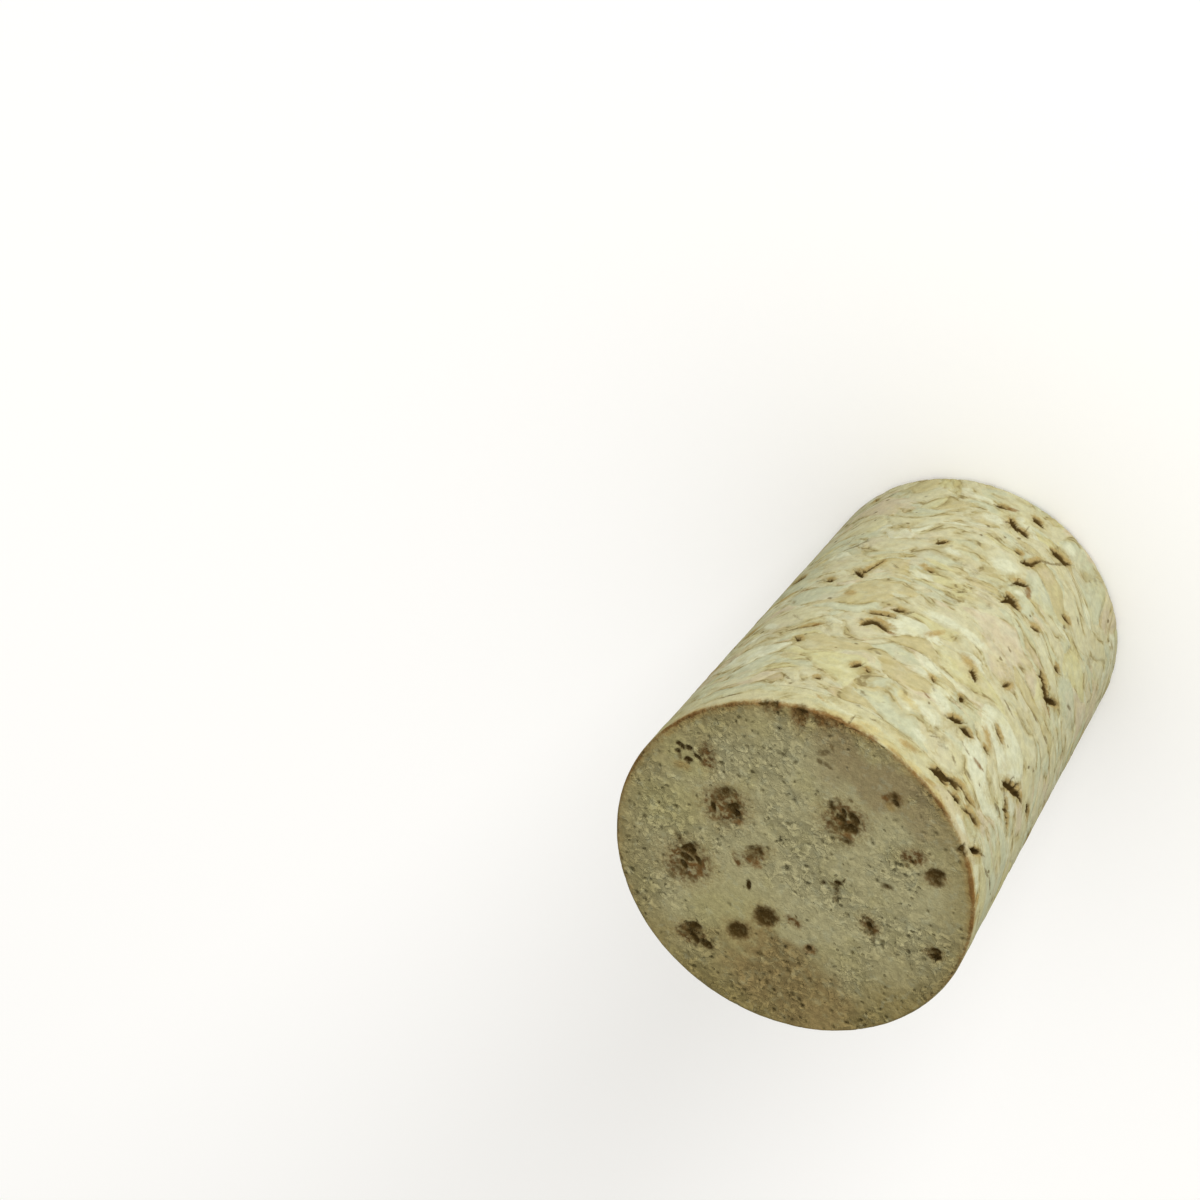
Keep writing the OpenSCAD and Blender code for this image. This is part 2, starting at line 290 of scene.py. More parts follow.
# Marks in the natural cork face: place, length, width, tilt, kind
FACE_MARKS = [
    # pore with an arch of dark clods
    (5.7, -1.1, 2.3, 2.1, 40, "halo"),
    (6.5, -1.4, 1.1, 0.3, 80, "line"),
    (6.2, -2.0, 1.2, 0.4, 50, "crack"),
    (5.7, -2.2, 0.6, 0.2, -20, "line"),
    (6.3, -0.5, 0.6, 0.3, -50, "gap"),
    (5.8, -0.7, 0.6, 0.3, -20, "rust"),
    (5.8, -1.4, 0.3, 0.3, 40, "line"),
    (5.3, -1.4, 0.9, 0.35, 40, "gap"),
    (5.0, -1.1, 0.8, 0.4, 0, "gap"),
    (5.0, -1.8, 0.7, 0.3, -20, "line"),
    (4.9, -0.8, 0.8, 0.3, 20, "line"),
    (4.5, -0.6, 0.8, 0.3, 40, "rust"),
    (6.0, 0.1, 0.3, 0.3, 40, "line"),
    # pore with a pale middle in a dark ring
    (-0.8, -5.5, 2.2, 2.0, 40, "halo"),
    (-0.7, -5.5, 0.8, 0.4, -20, "gap"),
    (-0.6, -6.0, 0.6, 0.25, -40, "gap"),
    (-1.3, -6.1, 0.8, 0.4, -20, "gap"),
    (-1.4, -5.2, 1.1, 0.4, 30, "gap"),
    (-1.5, -5.8, 0.8, 0.3, -50, "crack"),
    (-1.1, -5.6, 0.7, 0.35, -50, "pale"),
    (0.2, -5.8, 0.8, 0.3, -40, "crack"),
    (0.1, -6.5, 0.6, 0.2, -30, "line"),
    (-0.5, -7.1, 0.5, 0.2, -20, "line"),
    (-0.6, -4.8, 1.1, 0.5, -20, "line"),
    (-0.7, -4.2, 0.6, 0.2, 10, "line"),
    (-1.7, -4.3, 0.9, 0.3, 10, "crack"),
    (-1.6, -4.7, 0.9, 0.5, 0, "rust"),
    # low pore of brown clods
    (5.7, 4.4, 2.5, 2.2, 40, "halo"),
    (7.0, 3.2, 0.8, 0.3, -40, "crack"),
    (6.2, 3.4, 0.9, 0.25, 60, "gap"),
    (5.9, 3.4, 0.8, 0.3, -40, "gap"),
    (5.8, 2.8, 0.4, 0.2, 10, "line"),
    (5.9, 4.1, 0.8, 0.3, 10, "gap"),
    (5.8, 4.7, 0.7, 0.3, -40, "gap"),
    (5.2, 3.8, 0.6, 0.3, -40, "gap"),
    (5.1, 4.2, 0.9, 0.4, 20, "rust"),
    (6.3, 4.8, 0.6, 0.2, -40, "line"),
    (6.0, 5.2, 0.8, 0.3, 0, "line"),
    (4.7, 4.5, 0.8, 0.4, -50, "rust"),
    (4.9, 5.3, 0.8, 0.3, -40, "line"),
    (5.5, 5.3, 0.6, 0.2, 0, "line"),
    (6.0, 6.0, 0.8, 0.4, -20, "line"),
    (5.3, 4.9, 0.4, 0.3, -20, "pale"),
    # ring of small holes with a straw-coloured edge
    (10.1, -3.0, 0.6, 0.3, -20, "gap"),
    (10.1, -2.5, 0.35, 0.3, 40, "gap"),
    (9.6, -3.2, 0.5, 0.3, 10, "gap"),
    (9.2, -2.4, 0.5, 0.4, 40, "gap"),
    (8.8, -3.0, 0.6, 0.3, -20, "gap"),
    (8.9, -3.5, 0.6, 0.2, -50, "line"),
    (9.8, -2.3, 0.6, 0.2, -40, "line"),
    (9.4, -1.8, 1.4, 0.5, 20, "tan"),
    (8.3, -3.5, 1.6, 0.5, -50, "halo"),
    # rusty oval pore
    (2.8, 0.5, 0.7, 0.4, 40, "crack"),
    (2.4, 0.8, 1.6, 0.8, 60, "halo"),
    (2.5, 0.6, 1.1, 0.6, 40, "line"),
    (2.3, 0.3, 0.8, 0.3, -40, "crack"),
    (2.6, 1.1, 0.6, 0.4, 0, "line"),
    (2.1, 1.3, 1.1, 0.6, 0, "rust"),
    (1.6, 1.0, 0.3, 0.3, 40, "line"),
    (1.9, 0.8, 0.3, 0.2, -20, "pale"),
    (3.2, 1.9, 0.8, 0.4, -40, "halo"),
    # olive pore with a dark crescent, and the small hole beside it
    (3.0, 9.0, 1.6, 1.2, 20, "halo"),
    (3.1, 9.0, 1.6, 1.0, 20, "line"),
    (3.0, 8.9, 1.1, 0.8, 20, "crack"),
    (3.1, 8.4, 0.9, 0.3, 20, "gap"),
    (3.0, 9.0, 0.6, 0.25, -50, "gap"),
    (2.6, 9.2, 0.8, 0.4, -30, "gap"),
    (2.4, 9.6, 0.6, 0.3, -60, "line"),
    (1.8, 9.1, 0.9, 0.5, 0, "gap"),
    # round pores below the middle
    (0.6, 6.6, 1.3, 1.1, 40, "halo"),
    (0.6, 6.6, 1.4, 1.1, 40, "line"),
    (0.6, 6.6, 1.1, 0.9, 40, "gap"),
    (0.9, 6.2, 0.5, 0.3, -40, "crack"),
    (0.4, 6.3, 0.7, 0.3, -40, "gap"),
    (0.8, 7.0, 0.6, 0.2, -40, "crack"),
    (-0.3, 4.35, 1.35, 1.3, 40, "line"),
    (-0.3, 4.35, 1.3, 1.2, 40, "halo"),
    (-0.3, 4.35, 1.2, 1.1, 40, "gap"),
    (-1.9, 2.9, 0.4, 0.2, -40, "line"),
    (-1.9, 3.4, 0.9, 0.5, 0, "halo"),
    # forked pore
    (-2.0, -0.5, 0.4, 0.35, 40, "crack"),
    (-2.5, -0.9, 0.6, 0.2, 0, "line"),
    (-2.8, -1.2, 0.5, 0.35, 10, "gap"),
    (-2.9, -0.8, 0.8, 0.4, -50, "crack"),
    (-3.0, -1.6, 0.4, 0.2, 80, "crack"),
    (-3.2, -0.1, 0.9, 0.25, -60, "line"),
    # star pore
    (-5.7, -0.2, 0.8, 0.4, 0, "line"),
    (-5.9, 0.1, 1.1, 0.8, -20, "halo"),
    (-5.9, 0.1, 0.6, 0.35, -20, "gap"),
    (-6.0, -0.2, 0.7, 0.25, -40, "line"),
    (-6.2, 0.5, 0.7, 0.4, -20, "crack"),
    (-6.6, 0.9, 0.7, 0.2, -60, "line"),
    # square pore near the rim
    (-2.6, -9.1, 0.9, 0.8, 20, "halo"),
    (-2.5, -9.2, 0.8, 0.6, 20, "line"),
    (-2.6, -9.3, 0.6, 0.5, -40, "crack"),
    (-2.1, -8.8, 0.5, 0.4, 40, "rust"),
    (-2.9, -8.9, 0.6, 0.3, -20, "gap"),
    (-2.7, -8.5, 0.8, 0.5, -20, "tan"),
    # dull pores on the right
    (-5.7, -6.3, 1.3, 0.9, 40, "halo"),
    (-5.8, -5.9, 0.5, 0.25, 0, "crack"),
    (-5.7, -5.4, 0.5, 0.3, -20, "line"),
    (-5.4, -3.2, 0.7, 0.3, 20, "crack"),
    (-7.5, -6.0, 1.1, 0.9, 40, "halo"),
    (-7.4, -6.2, 1.0, 0.7, 40, "gap"),
    (-7.7, -5.8, 0.8, 0.5, 0, "crack"),
    (-7.5, -5.5, 0.6, 0.2, 10, "line"),
    (-8.0, -5.7, 0.5, 0.2, -40, "line"),
    (-10.2, -1.0, 0.9, 0.7, 20, "halo"),
    (-10.2, -1.2, 0.6, 0.4, 20, "gap"),
    (-10.4, -0.8, 0.7, 0.4, 20, "gap"),
    (-9.9, -0.9, 0.6, 0.2, 20, "line"),
    # small holes and faint pores
    (1.7, 3.0, 0.6, 0.3, -60, "gap"),
    (1.9, 3.4, 0.4, 0.2, -60, "line"),
    (-3.7, 4.5, 0.35, 0.25, -50, "gap"),
    (-3.8, 4.5, 0.9, 0.8, 40, "rust"),
    (2.6, -8.9, 0.9, 0.3, 40, "line"),
    (2.3, -9.7, 0.6, 0.2, -40, "line"),
    (2.5, -8.2, 0.7, 0.2, -30, "line"),
    (1.9, -8.3, 0.7, 0.3, 0, "line"),
]

# Chips and dark places along the rim: turn, length along it, width across it, kind
RIM_MARKS = [
    (-50.5, 0.9, 0.4, "rust"),
    (-52.0, 0.6, 0.35, "gap"),
    (-53.5, 1.1, 0.8, "halo"),
    (-55.3, 1.3, 0.9, "halo"),
    (-55.5, 0.6, 0.4, "gap"),
    (-57.5, 1.2, 0.4, "rust"),
    (-59.5, 1.7, 0.9, "straw"),
    (-60.0, 0.8, 0.3, "rust"),
    (-63.6, 1.6, 1.6, "rust"),
    (-63.9, 1.2, 1.5, "halo"),
    (-64.0, 0.7, 0.9, "crack"),
    (-68.0, 1.4, 0.45, "rust"),
    (-70.0, 1.3, 1.0, "halo"),
    (-71.5, 1.4, 1.3, "rust"),
    (-75.5, 1.5, 0.8, "halo"),
    (-81.0, 1.0, 0.35, "rust"),
    (-87.0, 1.0, 0.3, "rust"),
    (-131.0, 0.55, 0.5, "gap"),
    (-133.0, 0.45, 0.5, "crack"),
]

# How strong the rusty line along the rim is at a turn
RIM_LINE = [
    (-178, 0.5),
    (-165, 0.7),
    (-148, 1.0),
    (-136, 1.0),
    (-130, 0.4),
    (-115, 0.9),
    (-100, 0.6),
    (-93, 0.35),
    (-80, 0.9),
    (-74, 0.8),
    (-60, 0.5),
    (-45, 0.75),
    (-20, 0.85),
    (10, 0.7),
    (60, 0.3),
    (120, 0.3),
    (178, 0.45),
]

# How deep and how dark the marks in the face are, against those in the side
FACE_DEPTH_SHARE = 0.4
FACE_DARK_SHARE = 0.97
# A mark in the face against the size in its row, and its least width against its length
FACE_MARK_SPREAD = 1.15
FACE_HALO_SPREAD = 1.45
LEAST_WIDTH = 0.5

# Pits in the face: spacing of the three kinds, and depth
PIT_SPACING = 0.6
SMALL_PIT_SPACING = 0.35
LARGE_PIT_SPACING = 1.7
PIT_DEPTH = 0.16
# Depth of the worm-like ridges and of the grooves between them
RIDGE_DEPTH = 0.13
GROOVE_DEPTH = 0.04

# Depth of the relief of the pressed granules, and of the broken hairlines along their joints
GRANULE_RELIEF = 0.03
DASH_DEPTH = 0.10
# Marks of the body that reach this far below the seam are drawn on the disc too
SEAM_REACH = 0.8
# Vertices this close to the seam stay where they are
SEAM_HOLD = 0.01

# Soft areas of the face: middle, half width, half height
SMOOTH_AREAS = [
    (1.9, 5.0, 3.0, 2.8),
    (-1.0, -8.8, 5.0, 2.0),
    (-1.8, 4.2, 1.4, 1.2),
    (-8.8, -5.0, 1.6, 2.0),
]
STAIN_AREA = (-4.0, 8.0, 5.4, 3.1)
PINK_AREA = (-1.2, -9.6, 5.0, 2.2)
STRAW_AREAS = [
    (1.2, 6.4, 3.2, 3.4),
    (8.6, 1.2, 2.2, 2.6),
    (9.4, -2.6, 1.6, 1.3),
]


# Numbers with numpy

def part_of(x):
    return x - math.floor(x)


def smooth(x, low, high):
    """0 at low, 1 at high, and a soft step between; low may be the larger."""
    t = np.clip((x - low) / (high - low), 0, 1)
    return t * t * (3 - 2 * t)


def dice(ix, iy, iz, seed):
    """Repeatable numbers from 0 to 1 on whole-number points."""
    mask = np.uint64(0xFFFFFFFF)
    h = ix.astype(np.uint64) * np.uint64(374761393) + iy.astype(np.uint64) * np.uint64(668265263)
    h = (h + iz.astype(np.uint64) * np.uint64(2246822519) + np.uint64(seed * 3266489917)) & mask
    h = ((h ^ (h >> np.uint64(13))) * np.uint64(1274126177)) & mask
    h = ((h ^ (h >> np.uint64(15))) * np.uint64(2654435761)) & mask
    return ((h ^ (h >> np.uint64(16))) & np.uint64(0xFFFFFF)).astype(float) / 0xFFFFFF


def lumps(p, size, seed):
    """Soft noise from 0 to 1 with lumps about size across."""
    q = p / size + 1000.0
    cell = np.floor(q).astype(np.int64)
    f = q - cell
    f = f * f * (3 - 2 * f)
    total = np.zeros(len(p))
    for dx in (0, 1):
        for dy in (0, 1):
            for dz in (0, 1):
                w = (f[:, 0] if dx else 1 - f[:, 0]) * (f[:, 1] if dy else 1 - f[:, 1])
                w = w * (f[:, 2] if dz else 1 - f[:, 2])
                total += w * dice(cell[:, 0] + dx, cell[:, 1] + dy, cell[:, 2] + dz, seed)
    return total


def rough(p, size, seed, octaves=3):
    """Noise from 0 to 1 with finer and finer lumps on top."""
    total, weight = np.zeros(len(p)), 0.0
    for k in range(octaves):
        total += lumps(p, size / 2 ** k, seed + k) / 2 ** k
        weight += 1 / 2 ** k
    return total / weight


def shaken(p, reach, size, seed, octaves=3):
    """The places moved about by noise, which makes outlines ragged."""
    return p + 2 * reach * np.stack([rough(p, size, seed + 5 * k, octaves) - 0.5 for k in range(3)], 1)


def nearest_speck(p, spacing, seed):
    """Distance to the nearest of a set of scattered points, and that point's own number from 0 to 1."""
    q = p / spacing + 1000.0
    cell = np.floor(q).astype(np.int64)
    best = np.full(len(p), 9.0)
    number = np.zeros(len(p))
    for dx in (-1, 0, 1):
        for dy in (-1, 0, 1):
            for dz in (-1, 0, 1):
                c = cell + (dx, dy, dz)
                spot = np.stack([dice(c[:, 0], c[:, 1], c[:, 2], seed + k) for k in range(3)], 1)
                far = np.linalg.norm(c + spot - q, axis=1)
                near = far < best
                best = np.where(near, far, best)
                number = np.where(near, dice(c[:, 0], c[:, 1], c[:, 2], seed + 3), number)
    return best * spacing, number


def turned(u, v, length, width, tilt):
    """Places as shares of the half length and half width of a tilted mark."""
    c, s = math.cos(math.radians(tilt)), math.sin(math.radians(tilt))
    return (u * c + v * s) / (length / 2), (v * c - u * s) / (width / 2)


def oval(u, v, length, width, tilt):
    """1 on the outline of a tilted oval, less inside it."""
    return np.hypot(*turned(u, v, length, width, tilt))


def splinter(u, v, length, width, tilt):
    """1 on the outline of a tilted shape with two pointed ends, less inside it."""
    along, across = turned(u, v, length, width, tilt)
    return np.sqrt(along ** 2 + across ** 2 / np.maximum(1 - along ** 2, 0.08))


# Meshes

def ring_of_rings(rings):
    """Vertices, as share of radius and turn, and triangles of a disc of even triangles."""
    share, turn, faces = [0.0], [0.0], []
    start = 1
    inner_start, inner_count = 0, 1
    for k in range(1, rings + 1):
        count = 6 * k
        share += [k / rings] * count
        turn += [2 * math.pi * j / count for j in range(count)]
        for sector in range(6):
            for j in range(k):
                a = start + sector * k + j
                b = start + (sector * k + j + 1) % count
                c = inner_start + (sector * (k - 1) + j) % inner_count
                faces.append((a, b, c))
                if j < k - 1:
                    d = inner_start + (sector * (k - 1) + j + 1) % inner_count
                    faces.append((c, b, d))
        inner_start, inner_count = start, count
        start += count
    return np.array(share), np.array(turn), faces


def crowd_columns(turn, crowding):
    """Turns that lie closer together on the -Y side."""
    return turn - crowding * np.sin(turn + math.pi / 2)


def skin(rings, flat_z, flat_r, up, profile, crowding):
    """A flat end of even triangles, joined to rows that follow a profile of (r, z, slope of the normal)."""
    share, turn, faces = ring_of_rings(rings)
    turn = crowd_columns(turn, crowding)
    r = share * flat_r
    place = np.stack([r * np.cos(turn), r * np.sin(turn), np.full(len(r), flat_z)], 1)
    normal = np.tile((0.0, 0.0, 1.0 if up else -1.0), (len(r), 1))
    if not up:
        faces = [f[::-1] for f in faces]
    count = 6 * rings
    last = len(r) - count
    around = crowd_columns(2 * math.pi * np.arange(count) / count, crowding)
    places, normals = [place], [normal]
    total = len(r)
    for row_r, row_z, lean in profile:
        places.append(np.stack([row_r * np.cos(around), row_r * np.sin(around), np.full(count, row_z)], 1))
        flat = np.stack([np.cos(around), np.sin(around), np.zeros(count)], 1) * math.cos(lean)
        normals.append(flat + np.array([0, 0, math.sin(lean)]))
        for j in range(count):
            k = (j + 1) % count
            quad = (last + j, last + k, total + k, total + j)
            faces.append(quad[::-1] if up else quad)
        last = total
        total += count
    cap = tuple(range(last, last + count))
    faces.append(cap if not up else cap[::-1])
    return np.concatenate(places), np.concatenate(normals), faces


def radius_at(z):
    return BASE_R + SLOPE * z


def edge_rows(z, r, start, end):
    """Rows round an eased edge, from one angle of the normal to another."""
    middle = BASE_R + SLOPE * z - r / math.cos(TAPER)
    angles = [start + (end - start) * i / EDGE_STEPS for i in range(1, EDGE_STEPS + 1)]
    return [(middle + r * math.cos(a), z + r * math.sin(a), a) for a in angles]


def side_rows(start_z, end_z, count):
    steps = [start_z + (end_z - start_z) * i / count for i in range(1, count + 1)]
    return [(radius_at(z), z, -TAPER) for z in steps]


def make_object(name, place, faces):
    mesh = bpy.data.meshes.new(name)
    mesh.from_pydata((place * MM).tolist(), [], faces)
    mesh.polygons.foreach_set("use_smooth", [True] * len(mesh.polygons))
    mesh.update()
    piece = bpy.data.objects.new(name, mesh)
    bpy.context.scene.collection.objects.link(piece)
    return piece


def press_in(piece, place, normal, depth, held):
    """Moves the vertices inwards by a depth, apart from those that are held."""
    moved = place - normal * np.where(held, 0.0, depth)[:, None]
    piece.data.vertices.foreach_set("co", (moved * MM).ravel())
    piece.data.update()


def store(piece, name, values):
    layer = piece.data.attributes.new(name, "FLOAT", "POINT")
    layer.data.foreach_set("value", values.astype(np.float32))


# Marks

class Marks:
    """Depth and colours that marks give to a set of places."""

    def __init__(self, count):
        self.depth = np.zeros(count)
        self.colours = {name: np.zeros(count) for name in COLOURS}

    def tint(self, colour, share):
        self.colours[colour] = np.maximum(self.colours[colour], share)

    def add(self, kind, q, where=1.0):
        """A mark of some kind, with q as oval() or splinter() gives it."""
        depth, colour, strength, soft = KINDS[kind]
        self.depth = np.maximum(self.depth, depth * smooth(q, 1.4, 0.2) * where)
        # The dark tint is painted shade inside the holes of gaps and cracks; in the face pores it is partly
        # their own dark brown.
        if colour == "dark":
            self.tint("dark", strength * np.clip(1 - q ** 2 / DARK_REACH, 0, 1) * where)
            self.tint("brown", 0.6 * strength * smooth(q, 1.7, 0.9) * where)
        else:
            self.tint(colour, strength * smooth(q, 1.1 + 0.5 * soft, 0.9 - 0.7 * soft) * where)
        if colour == "halo":
            self.tint("tan", 0.35 * smooth(q, 2.2, 1.0) * where)

    def store(self, piece):
        for name, values in self.colours.items():
            store(piece, name, values)


def add_side_marks(marks, place, where, rows):
    turn = np.degrees(np.arctan2(place[:, 1], place[:, 0]))
    for i, (mark_turn, z, length, width, tilt, kind) in enumerate(rows):
        u = np.radians((turn - mark_turn + 180) % 360 - 180) * radius_at(z)
        v = place[:, 2] - z
        if kind in ("tan", "pale", "straw", "dull"):
            marks.add(kind, oval(u, v, length, width, tilt), where)
            continue
        marks.add(kind, splinter(u, v, SPLINTER_LENGTH * length, SPLINTER_WIDTH * width, tilt), where)
        if kind in ("gap", "crack"):
            aside = FRINGE_ASIDE if i % 2 else -FRINGE_ASIDE
            fringe = oval(u - aside, v + FRINGE_ASIDE, 1.3 * length, 0.35 + width, tilt)
            # A wide soft olive tint round each gap and crack.
            olive_round_gap = oval(u, v, 2 * length, 0.8 + 2 * width, tilt)
            marks.tint("tan", 0.75 * smooth(fringe, 1.4, 0.5) * where)
            marks.tint("olive", 0.6 * smooth(olive_round_gap, 1.5, 0.3) * where)
        if kind == "gap":
            turned_by = tilt + 50 + 40 * part_of(i * GOLDEN)
            spur = splinter(u - 0.2 * length, v, SPUR_LENGTH * length, SPUR_WIDTH * width, turned_by)
            marks.add("crack", spur, where)


# Node helpers, which work in a material and in a geometry tree alike

class Nodes:
    def __init__(self, tree):
        self.tree = tree

    def add(self, kind, **settings):
        node = self.tree.nodes.new(kind)
        for key, value in settings.items():
            setattr(node, key, value)
        return node

    def plug(self, node, name, value):
        socket = node.inputs[name]
        if isinstance(value, bpy.types.NodeSocket):
            self.tree.links.new(value, socket)
        elif value is not None:
            socket.default_value = value

    def math(self, what, a, b=None, clamp=False):
        node = self.add("ShaderNodeMath", operation=what, use_clamp=clamp)
        self.plug(node, 0, a)
        self.plug(node, 1, b)
        return node.outputs[0]

    def times(self, a, b):
        return self.math("MULTIPLY", a, b)

    def plus(self, a, b):
        return self.math("ADD", a, b)

    def vector(self, what, a, b=None):
        node = self.add("ShaderNodeVectorMath", operation=what)
        self.plug(node, 0, a)
        self.plug(node, 1, b)
        return node.outputs["Vector"]

    def stretch(self, place, *scale):
        return self.vector("MULTIPLY", place, scale)

    def noise(self, place, scale, detail=2.0, roughness=0.5, colour=False):
        node = self.add("ShaderNodeTexNoise", noise_dimensions="3D")
        self.plug(node, "Vector", place)
        self.plug(node, "Scale", scale)
        self.plug(node, "Detail", detail)
        self.plug(node, "Roughness", roughness)
        return node.outputs["Color" if colour else "Fac"]

    def bend(self, place, scale, detail, *reach):
        """The place moved by noise, at most by half of reach each way."""
        noise = self.noise(place, scale, detail, 0.5, colour=True)
        shift = self.vector("SUBTRACT", noise, (0.5, 0.5, 0.5))
        return self.vector("ADD", place, self.stretch(shift, *reach))

    def cells(self, place, scale, feature="F1"):
        node = self.add("ShaderNodeTexVoronoi", feature=feature, voronoi_dimensions="3D")
        self.plug(node, "Vector", place)
        self.plug(node, "Scale", scale)
        return node

    def shade(self, colour, factor):
        """The colour made lighter or darker."""
        node = self.add("ShaderNodeVectorMath", operation="SCALE")
        self.plug(node, 0, colour)
        self.plug(node, "Scale", factor)
        return node.outputs["Vector"]

    def parts(self, vector):
        node = self.add("ShaderNodeSeparateXYZ")
        self.plug(node, 0, vector)
        return node.outputs

    def step(self, x, low, high, out_low=0.0, out_high=1.0):
        """A soft step of x between low and high; low may be the larger."""
        if low > high:
            low, high, out_low, out_high = high, low, out_high, out_low
        node = self.add("ShaderNodeMapRange", interpolation_type="SMOOTHSTEP")
        names = ("Value", "From Min", "From Max", "To Min", "To Max")
        for name, value in zip(names, (x, low, high, out_low, out_high)):
            self.plug(node, name, value)
        return node.outputs[0]

    def mix(self, share, a, b):
        node = self.add("ShaderNodeMix", data_type="RGBA")
        for name, value in (("Factor", share), ("A", a), ("B", b)):
            kind = "VALUE" if name == "Factor" else "RGBA"
            socket = [s for s in node.inputs if s.name == name and s.type == kind][0]
            if isinstance(value, bpy.types.NodeSocket):
                self.tree.links.new(value, socket)
            else:
                socket.default_value = value if name == "Factor" else (*value, 1.0)
        return [s for s in node.outputs if s.type == "RGBA"][0]

    def wash(self, colour, tint, strength, x, low, high):
        """A tint mixed in more and more as x goes from low to high, which may be the lower one."""
        return self.mix(self.step(x, low, high, 0.0, strength), colour, tint)

    def blend(self, share, a, b):
        node = self.add("ShaderNodeMix", data_type="FLOAT")
        for index, value in ((0, share), (2, a), (3, b)):
            self.plug(node, index, value)
        return node.outputs[0]

    def ramp(self, x, stops, steps=False):
        node = self.add("ShaderNodeValToRGB")
        node.color_ramp.interpolation = "CONSTANT" if steps else "LINEAR"
        points = node.color_ramp.elements
        while len(points) < len(stops):
            points.new(0.5)
        for point, (at, colour) in zip(points, stops):
            point.position = at
            point.color = (*colour, 1.0)
        self.plug(node, "Fac", x)
        return node.outputs["Color"]

    def attribute(self, name):
        return self.add("ShaderNodeAttribute", attribute_name=name).outputs["Fac"]

    def bump(self, shader, height, strength):
        node = self.add("ShaderNodeBump")
        node.inputs["Distance"].default_value = MM
        node.inputs["Strength"].default_value = strength
        self.plug(node, "Height", height)
        self.plug(shader, "Normal", node.outputs[0])


# Granules of pressed cork

GRANULE_WIDE = 4.3
GRANULE_TALL = 1.9
FINE_CELLS = 2.0
SPLIT_SHARE = 0.45


def granule_pattern(n, place):
    """Numbers of the granule at a place in millimetres, how near a joint is, and the bent place."""
    bent = n.bend(place, 0.17, 1.0, 3.0, 3.0, 5.5)
    bent = n.bend(bent, 0.7, 2.0, 1.1, 1.1, 0.8)
    squashed = n.stretch(bent, 1 / GRANULE_WIDE, 1 / GRANULE_WIDE, 1 / GRANULE_TALL)
    big = n.parts(n.cells(squashed, 1.0).outputs["Color"])
    small = n.parts(n.cells(squashed, FINE_CELLS).outputs["Color"])
    big_joint = n.cells(squashed, 1.0, "DISTANCE_TO_EDGE").outputs["Distance"]
    small_joint = n.cells(squashed, FINE_CELLS, "DISTANCE_TO_EDGE").outputs["Distance"]
    small_joint = n.math("DIVIDE", small_joint, FINE_CELLS)
    split = n.math("GREATER_THAN", big[0], 1 - SPLIT_SHARE)
    joint = n.blend(split, big_joint, n.math("MINIMUM", big_joint, small_joint))
    return n.blend(split, big[1], small[1]), n.blend(split, big[2], small[2]), joint, bent


def measure_granules(piece):
    """The granule pattern at each vertex, read back from a geometry tree with the same nodes."""
    tree = bpy.data.node_groups.new("granule_reader", "GeometryNodeTree")
    tree.interface.new_socket(name="Geometry", in_out="INPUT", socket_type="NodeSocketGeometry")
    tree.interface.new_socket(name="Geometry", in_out="OUTPUT", socket_type="NodeSocketGeometry")
    n = Nodes(tree)
    place = n.stretch(n.add("GeometryNodeInputPosition").outputs[0], 1 / MM, 1 / MM, 1 / MM)
    _, level, joint, _ = granule_pattern(n, place)
    wanted = {"level": level, "joint": joint}
    flow = n.add("NodeGroupInput").outputs[0]
    for name, socket in wanted.items():
        keep = n.add("GeometryNodeStoreNamedAttribute", data_type="FLOAT", domain="POINT")
        n.plug(keep, "Geometry", flow)
        n.plug(keep, "Name", name)
        n.plug(keep, "Value", socket)
        flow = keep.outputs[0]
    out = n.add("NodeGroupOutput")
    n.plug(out, 0, flow)
    modifier = piece.modifiers.new("granule_reader", "NODES")
    modifier.node_group = tree
    shown = piece.evaluated_get(bpy.context.evaluated_depsgraph_get())
    numbers = []
    for name in wanted:
        values = np.empty(len(shown.data.vertices), dtype=np.float32)
        shown.data.attributes[name].data.foreach_get("value", values)
        numbers.append(values.astype(float))
    piece.modifiers.remove(modifier)
    bpy.data.node_groups.remove(tree)
    return numbers


# The pressed body

def back_side_marks():
    """The gaps that the CAD model has round the back, drawn narrower, and smaller marks between them."""
    rows = []
    for i in range(BACK_GAP_COUNT):
        length = BACK_GAP_L * (0.6 + 0.8 * part_of(i * 0.37))
        width = length * (0.18 + 0.25 * part_of(i * 0.53))
        turn = -25 + 220 * part_of(i * GOLDEN)
        z = SEAM_Z * (0.04 + 0.93 * (i + 0.5) / BACK_GAP_COUNT)
        rows.append((turn, z, length, width, -50 + 100 * part_of(i * 0.71), "gap"))
    kinds = ("line", "crack", "line", "tan", "pale", "line", "rust")
    for i in range(BACK_MARK_COUNT):
        kind = kinds[i % len(kinds)]
        wide = kind in ("tan", "pale")
        length = (1.6 if wide else 0.6) + part_of(i * 0.43)
        width = 0.8 if wide else 0.2 + 0.15 * part_of(i * 0.31)
        turn = -32 + 228 * part_of(0.3 + i * GOLDEN)
        z = SEAM_Z * (0.02 + 0.95 * part_of(i * 0.7548))
        rows.append((turn, z, length, width, -60 + 120 * part_of(i * 0.57), kind))
    return rows


